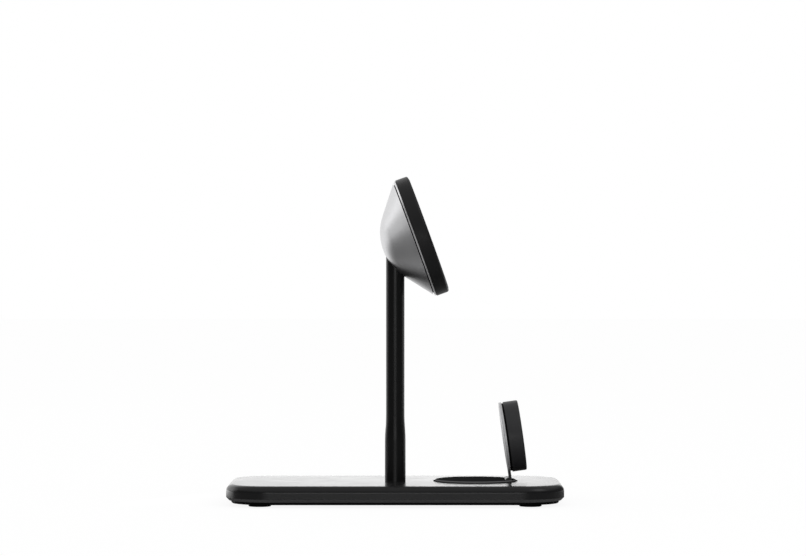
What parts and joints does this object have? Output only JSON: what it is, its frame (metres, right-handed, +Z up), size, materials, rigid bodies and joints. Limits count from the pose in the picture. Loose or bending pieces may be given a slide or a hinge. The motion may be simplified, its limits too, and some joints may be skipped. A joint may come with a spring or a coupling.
{
  "type": "wireless charging stand",
  "caption": "Charging stand: a thin rounded base with a post, a tilted round magnetic head with a domed back, and a small round puck that folds down on to the base.",
  "frame": {"origin": "on the floor, under the middle of the base", "axes": "+X along the base, the way the head and the puck face; +Y across it; +Z up"},
  "size_m": [0.148, 0.076, 0.1444],
  "materials": {
    "shell_black": "satin",
    "black_plastic": "matte",
    "foot_rubber": "matte",
    "pad_rubber": "matte",
    "dome_silver": "satin",
    "trim_silver": "polished",
    "puck_grey": "satin",
    "puck_silver": "satin",
    "puck_gloss": "gloss",
    "steel": "satin",
    "black_steel": "satin",
    "board_green": "satin",
    "copper": "satin",
    "ferrite": "matte",
    "magnet": "polished"
  },
  "bodies": {
    "stand": {"base_shell": "shell_black", "bottom_cover": "black_plastic", "rubber_foot_1": "foot_rubber", "rubber_foot_2": "foot_rubber", "rubber_foot_3": "foot_rubber", "rubber_foot_4": "foot_rubber", "cover_screws": "steel", "ballast_plate": "steel", "main_board": "board_green", "board_screws": "steel", "power_inlet": "steel", "inlet_tongue": "black_plastic", "base_coil": "copper", "base_ferrite": "ferrite", "post": "shell_black", "post_nut": "steel", "post_lead": "pad_rubber", "head_dome": "dome_silver", "head_bracket": "black_plastic", "post_screws": "steel", "head_screws": "steel", "head_board": "board_green", "groove_ring": "black_plastic", "trim_ring": "trim_silver", "front_cup": "black_plastic", "face_pad": "pad_rubber", "head_ferrite": "ferrite", "head_coil": "copper", "head_magnets": "magnet", "puck_seat": "pad_rubber", "hinge_bracket": "black_steel", "hinge_screws": "steel", "hinge_pin": "black_steel", "friction_washers": "black_plastic"},
    "puck": {"puck_arm": "black_steel", "arm_screws": "black_steel", "puck_rear_cap": "puck_silver", "puck_housing": "puck_grey", "puck_face": "puck_gloss", "puck_ferrite": "ferrite", "puck_coil": "copper", "puck_magnet": "magnet"}
  },
  "joints": [
    {"name": "puck_fold", "type": "hinge", "parent": "stand", "child": "puck", "pos_m": [0.0499, 0, 0.0099], "axis": [0, -1, 0], "range_deg": [0, 82]}
  ]
}
